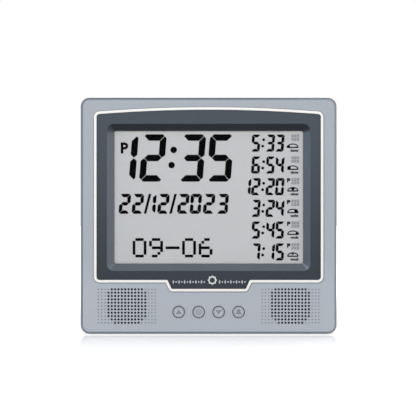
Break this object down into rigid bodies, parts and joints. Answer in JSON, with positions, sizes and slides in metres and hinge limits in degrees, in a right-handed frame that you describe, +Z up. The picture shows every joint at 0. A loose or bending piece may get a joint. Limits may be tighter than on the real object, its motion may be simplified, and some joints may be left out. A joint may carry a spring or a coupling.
{
  "type": "azan clock",
  "caption": "Upright digital prayer-time clock with an arched display panel, row of buttons, speaker grilles, battery door and fold-out stand leg.",
  "frame": {"origin": "centre of the case's base, at the bottom of the whole clock", "axes": "+X to the right seen from the front, the front faces -Y, +Z up"},
  "size_m": [0.232, 0.0348, 0.214],
  "materials": {
    "case_silver": "satin",
    "cover_grey": "satin",
    "trim_white": "gloss",
    "panel_grey": "satin",
    "lens_clear": "gloss",
    "film": "gloss",
    "display_glass": "gloss",
    "inner_white": "matte",
    "rubber": "matte",
    "board": "satin",
    "resin": "satin",
    "can": "satin",
    "switch_black": "satin",
    "cap_silver": "satin",
    "steel": "satin",
    "magnet": "matte",
    "cone": "matte",
    "cell": "gloss",
    "brass": "satin"
  },
  "bodies": {
    "case": {"front_bezel": "case_silver", "trim_ring": "trim_white", "display_surround": "panel_grey", "display_lens": "lens_clear", "lcd_polariser": "film", "lcd_front_glass": "display_glass", "lcd_rear_glass": "display_glass", "lcd_reflector": "film", "lcd_frame": "inner_white", "zebra_strips": "rubber", "main_board": "board", "key_board": "board", "board_chip": "resin", "board_crystal": "can", "board_capacitors": "can", "key_switches": "switch_black", "key_ribbon": "inner_white", "speaker_frame_left": "steel", "speaker_cone_left": "cone", "speaker_magnet_left": "magnet", "speaker_frame_right": "steel", "speaker_cone_right": "cone", "speaker_magnet_right": "magnet", "rear_cover": "cover_grey", "dc_jack": "switch_black", "dc_jack_pin": "brass", "battery_cell_1": "cell", "battery_cell_2": "cell", "battery_cell_3": "cell", "battery_plates": "steel", "battery_springs": "steel", "case_screws": "steel"},
    "button_up": {"button_up": "cap_silver", "plunger_up": "switch_black"},
    "button_set": {"button_set": "cap_silver", "plunger_set": "switch_black"},
    "button_down": {"button_down": "cap_silver", "plunger_down": "switch_black"},
    "button_alarm": {"button_alarm": "cap_silver", "plunger_alarm": "switch_black"},
    "battery_door": {"battery_door": "cover_grey"},
    "stand_leg": {"stand_leg": "cover_grey"}
  },
  "joints": [
    {"name": "button_up_press", "type": "slide", "parent": "case", "child": "button_up", "axis": [0, 1, 0], "range_m": [0, 0.0003], "stiffness_N_per_m": 2500, "springref_m": -0.0003},
    {"name": "button_set_press", "type": "slide", "parent": "case", "child": "button_set", "axis": [0, 1, 0], "range_m": [0, 0.0003], "stiffness_N_per_m": 2500, "springref_m": -0.0003},
    {"name": "button_down_press", "type": "slide", "parent": "case", "child": "button_down", "axis": [0, 1, 0], "range_m": [0, 0.0003], "stiffness_N_per_m": 2500, "springref_m": -0.0003},
    {"name": "button_alarm_press", "type": "slide", "parent": "case", "child": "button_alarm", "axis": [0, 1, 0], "range_m": [0, 0.0003], "stiffness_N_per_m": 2500, "springref_m": -0.0003},
    {"name": "battery_door_hinge", "type": "hinge", "parent": "case", "child": "battery_door", "pos_m": [0, 0.0164, 0.1697], "axis": [1, 0, 0], "range_deg": [0, 95]},
    {"name": "stand_hinge", "type": "hinge", "parent": "case", "child": "stand_leg", "pos_m": [0, 0.0146, 0.1143], "axis": [1, 0, 0], "range_deg": [0, 30]}
  ]
}
